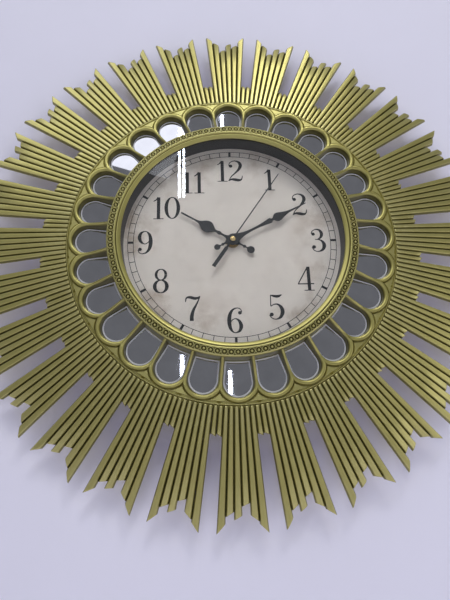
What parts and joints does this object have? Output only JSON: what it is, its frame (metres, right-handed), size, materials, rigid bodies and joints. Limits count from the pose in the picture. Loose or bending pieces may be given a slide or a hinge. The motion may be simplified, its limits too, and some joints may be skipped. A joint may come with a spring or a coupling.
{
  "type": "sunburst wall clock",
  "caption": "Round quartz wall clock: gold sunburst of ribbed rays, ring of petal mirrors, beaded bezel, glass, parchment dial, three hands, keyhole hanger.",
  "frame": {"origin": "on the hands' axis, half way between the bezel's top and the plane of the wall, which is the centre of the bounding box", "axes": "+Z towards 12 o'clock, +X towards 3 o'clock, -Y out of the dial towards the viewer, +Y into the wall"},
  "size_m": [0.5978, 0.0486, 0.5978],
  "materials": {
    "gold_paint": "satin metallic gold paint, darker in the grooves",
    "mirror_glass": "silvered glass with a bevelled edge",
    "clear_glass": "clear polished",
    "black_plastic": "fine matt",
    "dial_board": "printed parchment, matt",
    "black_hand": "satin black paint",
    "steel": "zinc plated",
    "brass": "plain polished",
    "grey_plastic": "fine matt",
    "white_nylon": "moulded",
    "battery_jacket": "printed sleeve, gloss",
    "circuit_board": "solder mask",
    "copper": "enamelled wire",
    "magnet": "sintered magnet"
  },
  "bodies": {
    "clock": {"sunburst_frame": "gold_paint", "lens": "clear_glass", "spacer_ring": "black_plastic", "dial": "dial_board", "rear_pan": "black_plastic", "hanger_plate": "steel", "pan_screw_1": "steel", "pan_screw_2": "steel", "pan_screw_3": "steel", "movement_front_case": "grey_plastic", "middle_plate": "white_nylon", "movement_back_case": "grey_plastic", "battery_contact_plus": "brass", "battery_contact_minus": "brass", "stator": "steel", "coil": "copper", "circuit_board": "circuit_board", "brass_washer": "brass", "hex_nut": "brass", "mirror_petal_01": "mirror_glass", "mirror_petal_02": "mirror_glass", "mirror_petal_03": "mirror_glass", "mirror_petal_04": "mirror_glass", "mirror_petal_05": "mirror_glass", "mirror_petal_06": "mirror_glass", "mirror_petal_07": "mirror_glass", "mirror_petal_08": "mirror_glass", "mirror_petal_09": "mirror_glass", "mirror_petal_10": "mirror_glass", "mirror_petal_11": "mirror_glass", "mirror_petal_12": "mirror_glass", "mirror_petal_13": "mirror_glass", "mirror_petal_14": "mirror_glass", "mirror_petal_15": "mirror_glass", "mirror_petal_16": "mirror_glass", "mirror_petal_17": "mirror_glass", "mirror_petal_18": "mirror_glass", "mirror_petal_19": "mirror_glass", "mirror_petal_20": "mirror_glass", "mirror_petal_21": "mirror_glass", "mirror_petal_22": "mirror_glass", "mirror_petal_23": "mirror_glass", "mirror_petal_24": "mirror_glass", "mirror_petal_25": "mirror_glass", "mirror_petal_26": "mirror_glass", "mirror_petal_27": "mirror_glass", "mirror_petal_28": "mirror_glass"},
    "second": {"seconds_wheel": "white_nylon", "second_hand": "black_hand"},
    "third": {"third_wheel": "white_nylon"},
    "centre": {"centre_wheel": "brass"},
    "intermediate": {"intermediate_wheel": "white_nylon"},
    "rotor": {"rotor": "magnet"},
    "minute": {"cannon_pinion": "brass", "minute_hand": "black_hand"},
    "setting": {"setting_wheel": "white_nylon", "set_knob": "grey_plastic"},
    "hour": {"hour_wheel": "white_nylon", "hour_hand": "black_hand"},
    "battery_cell": {"battery": "battery_jacket"}
  },
  "joints": [
    {"name": "second_spin", "type": "hinge", "parent": "clock", "child": "second", "pos_m": [0, 0, 0], "axis": [0, 1, 0], "continuous": true},
    {"name": "third_spin", "type": "hinge", "parent": "clock", "child": "third", "pos_m": [-0.00745, 0, 0.0043], "axis": [0, 1, 0], "continuous": true},
    {"name": "centre_spin", "type": "hinge", "parent": "clock", "child": "centre", "pos_m": [0, 0, 0], "axis": [0, 1, 0], "continuous": true},
    {"name": "intermediate_spin", "type": "hinge", "parent": "clock", "child": "intermediate", "pos_m": [0.00378, 0, 0.00655], "axis": [0, 1, 0], "continuous": true},
    {"name": "rotor_spin", "type": "hinge", "parent": "clock", "child": "rotor", "pos_m": [0.00261, 0, 0.01317], "axis": [0, 1, 0], "continuous": true},
    {"name": "minute_spin", "type": "hinge", "parent": "clock", "child": "minute", "pos_m": [0, 0, 0], "axis": [0, 1, 0], "continuous": true},
    {"name": "setting_spin", "type": "hinge", "parent": "clock", "child": "setting", "pos_m": [0.009, 0, 0], "axis": [0, 1, 0], "continuous": true},
    {"name": "hour_spin", "type": "hinge", "parent": "clock", "child": "hour", "pos_m": [0, 0, 0], "axis": [0, 1, 0], "continuous": true},
    {"name": "battery_lift", "type": "slide", "parent": "clock", "child": "battery_cell", "axis": [0, 1, 0], "range_m": [0, 0.03]}
  ],
  "couplings": [
    {"joint": "third_spin", "follows": "second_spin", "ratio": -0.125},
    {"joint": "centre_spin", "follows": "second_spin", "ratio": 0.016667},
    {"joint": "intermediate_spin", "follows": "second_spin", "ratio": -5},
    {"joint": "rotor_spin", "follows": "second_spin", "ratio": 30},
    {"joint": "setting_spin", "follows": "minute_spin", "ratio": -0.33333},
    {"joint": "hour_spin", "follows": "minute_spin", "ratio": 0.083333}
  ]
}
